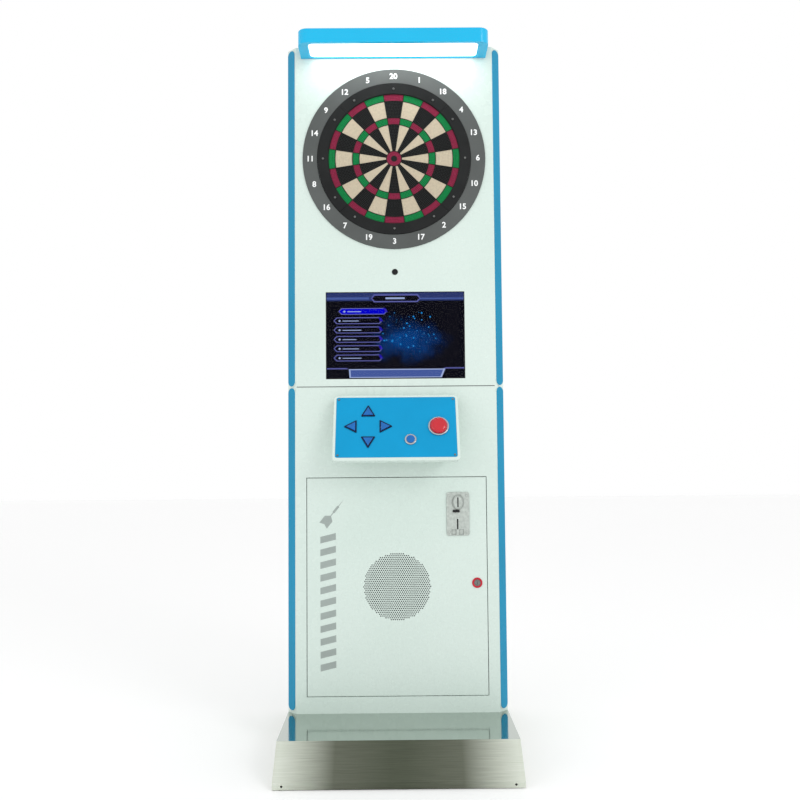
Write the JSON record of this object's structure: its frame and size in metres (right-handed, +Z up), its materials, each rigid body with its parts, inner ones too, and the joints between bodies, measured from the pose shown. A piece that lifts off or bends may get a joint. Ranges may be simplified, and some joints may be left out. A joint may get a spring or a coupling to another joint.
{
  "type": "electronic dartboard cabinet",
  "caption": "Upright coin-operated soft-tip dartboard machine with screen, tilted button panel, lit hood, locking door and stainless plinth.",
  "frame": {"origin": "floor level below the centre of the overall box", "axes": "+Z up, -Y is the side the player faces, +X to the player's right"},
  "size_m": [0.642, 0.713, 2.082],
  "materials": {
    "stainless": "brushed stainless sheet",
    "black_steel": "black powder coat",
    "rubber": "matt",
    "white_paint": "white gloss powder coat, fine orange peel",
    "blue_trim": "gloss",
    "zinc": "zinc plated",
    "diffuser": "opal acrylic, lit",
    "aluminium": "satin",
    "ring_grey": "fine texture",
    "catch_black": "fine texture",
    "membrane": "satin film",
    "segment_black": "moulded, dart holes",
    "segment_cream": "moulded, dart holes",
    "segment_red": "moulded, dart holes",
    "segment_green": "moulded, dart holes",
    "screen": "display module",
    "window_glass": "clear, polished",
    "lens_black": "gloss",
    "panel_blue": "semi-gloss paint",
    "navy_plastic": "gloss",
    "button_blue": "translucent, gloss",
    "button_red": "gloss",
    "chrome": "polished",
    "ring_red": "gloss",
    "coin_metal": "silver hammered paint",
    "cone_paper": "pressed pulp cone"
  },
  "bodies": {
    "cabinet": {"plinth_cover": "stainless", "plinth_frame": "black_steel", "rubber_feet": "rubber", "lower_shell": "white_paint", "lower_rear_cover": "white_paint", "upper_shell": "white_paint", "upper_rear_cover": "white_paint", "corner_trim_upper_left": "blue_trim", "corner_trim_upper_right": "blue_trim", "corner_trim_lower_left": "blue_trim", "corner_trim_lower_right": "blue_trim", "joining_bolts": "zinc", "hood_housing": "blue_trim", "hood_diffuser": "diffuser", "hood_led_bar": "aluminium", "number_ring": "ring_grey", "catch_ring": "catch_black", "catch_ring_screws": "zinc", "spider": "segment_black", "board_backplate": "catch_black", "membrane_sheet": "membrane", "lcd_panel": "screen", "lcd_window": "window_glass", "camera_lens": "lens_black", "control_box": "white_paint", "control_panel_plate": "panel_blue", "control_panel_screws": "zinc", "arrow_bezels": "navy_plastic", "red_button_bezel": "chrome", "blue_button_bezel": "chrome", "button_switches": "navy_plastic", "hinge_fixed": "zinc", "cash_box": "zinc", "game_computer": "black_steel", "power_inlet": "lens_black"},
    "door": {"door_panel": "white_paint", "hinge_moving": "zinc", "lock_body": "zinc", "lock_ring": "ring_red", "coin_faceplate": "coin_metal", "coin_mech": "catch_black", "speaker_basket": "black_steel"},
    "arrow_up": {"arrow_up": "button_blue"},
    "arrow_down": {"arrow_down": "button_blue"},
    "arrow_left": {"arrow_left": "button_blue"},
    "arrow_right": {"arrow_right": "button_blue"},
    "red_button": {"red_button": "button_red"},
    "blue_button": {"blue_button": "button_blue"},
    "inner_bull": {"inner_bull": "segment_black"},
    "outer_bull": {"outer_bull": "segment_red"},
    "singles_black": {"singles_black": "segment_black"},
    "singles_cream": {"singles_cream": "segment_cream"},
    "trebles_red": {"trebles_red": "segment_red"},
    "trebles_green": {"trebles_green": "segment_green"},
    "doubles_red": {"doubles_red": "segment_red"},
    "doubles_green": {"doubles_green": "segment_green"},
    "lock_cylinder": {"lock_cylinder": "zinc"},
    "coin_reject_button": {"coin_reject_button": "lens_black"},
    "speaker_cone": {"speaker_cone": "cone_paper"},
    "power_rocker": {"power_rocker": "button_red"}
  },
  "joints": [
    {"name": "door_hinge", "type": "hinge", "parent": "cabinet", "child": "door", "pos_m": [-0.249, -0.0175, 0.46], "axis": [0, 0, -1], "range_deg": [0, 100]},
    {"name": "lock_turn", "type": "hinge", "parent": "door", "child": "lock_cylinder", "pos_m": [0.234, -0.0235, 0.4675], "axis": [0, -1, 0], "range_deg": [0, 90]},
    {"name": "reject_press", "type": "slide", "parent": "door", "child": "coin_reject_button", "axis": [0, 1, 0], "range_m": [0, 0.0024], "stiffness_N_per_m": 400},
    {"name": "cone_travel", "type": "slide", "parent": "door", "child": "speaker_cone", "axis": [0, 1, 0], "range_m": [-0.002, 0.002], "stiffness_N_per_m": 2500},
    {"name": "arrow_up_press", "type": "slide", "parent": "cabinet", "child": "arrow_up", "axis": [0, 0.8926, -0.4509], "range_m": [0, 0.0032], "stiffness_N_per_m": 400},
    {"name": "arrow_down_press", "type": "slide", "parent": "cabinet", "child": "arrow_down", "axis": [0, 0.8926, -0.4509], "range_m": [0, 0.0032], "stiffness_N_per_m": 400},
    {"name": "arrow_left_press", "type": "slide", "parent": "cabinet", "child": "arrow_left", "axis": [0, 0.8926, -0.4509], "range_m": [0, 0.0032], "stiffness_N_per_m": 400},
    {"name": "arrow_right_press", "type": "slide", "parent": "cabinet", "child": "arrow_right", "axis": [0, 0.8926, -0.4509], "range_m": [0, 0.0032], "stiffness_N_per_m": 400},
    {"name": "red_button_press", "type": "slide", "parent": "cabinet", "child": "red_button", "axis": [0, 0.8926, -0.4509], "range_m": [0, 0.0034], "stiffness_N_per_m": 500},
    {"name": "blue_button_press", "type": "slide", "parent": "cabinet", "child": "blue_button", "axis": [0, 0.8926, -0.4509], "range_m": [0, 0.0024], "stiffness_N_per_m": 400},
    {"name": "inner_bull_press", "type": "slide", "parent": "cabinet", "child": "inner_bull", "axis": [0, 1, 0], "range_m": [0, 0.001], "stiffness_N_per_m": 3000},
    {"name": "outer_bull_press", "type": "slide", "parent": "cabinet", "child": "outer_bull", "axis": [0, 1, 0], "range_m": [0, 0.001], "stiffness_N_per_m": 3000},
    {"name": "singles_black_press", "type": "slide", "parent": "cabinet", "child": "singles_black", "axis": [0, 1, 0], "range_m": [0, 0.001], "stiffness_N_per_m": 3000},
    {"name": "singles_cream_press", "type": "slide", "parent": "cabinet", "child": "singles_cream", "axis": [0, 1, 0], "range_m": [0, 0.001], "stiffness_N_per_m": 3000},
    {"name": "trebles_red_press", "type": "slide", "parent": "cabinet", "child": "trebles_red", "axis": [0, 1, 0], "range_m": [0, 0.001], "stiffness_N_per_m": 3000},
    {"name": "trebles_green_press", "type": "slide", "parent": "cabinet", "child": "trebles_green", "axis": [0, 1, 0], "range_m": [0, 0.001], "stiffness_N_per_m": 3000},
    {"name": "doubles_red_press", "type": "slide", "parent": "cabinet", "child": "doubles_red", "axis": [0, 1, 0], "range_m": [0, 0.001], "stiffness_N_per_m": 3000},
    {"name": "doubles_green_press", "type": "slide", "parent": "cabinet", "child": "doubles_green", "axis": [0, 1, 0], "range_m": [0, 0.001], "stiffness_N_per_m": 3000},
    {"name": "power_rocker_tilt", "type": "hinge", "parent": "cabinet", "child": "power_rocker", "pos_m": [-0.215, 0.3513, 0.206], "axis": [-1, 0, 0], "range_deg": [0, 14]}
  ]
}
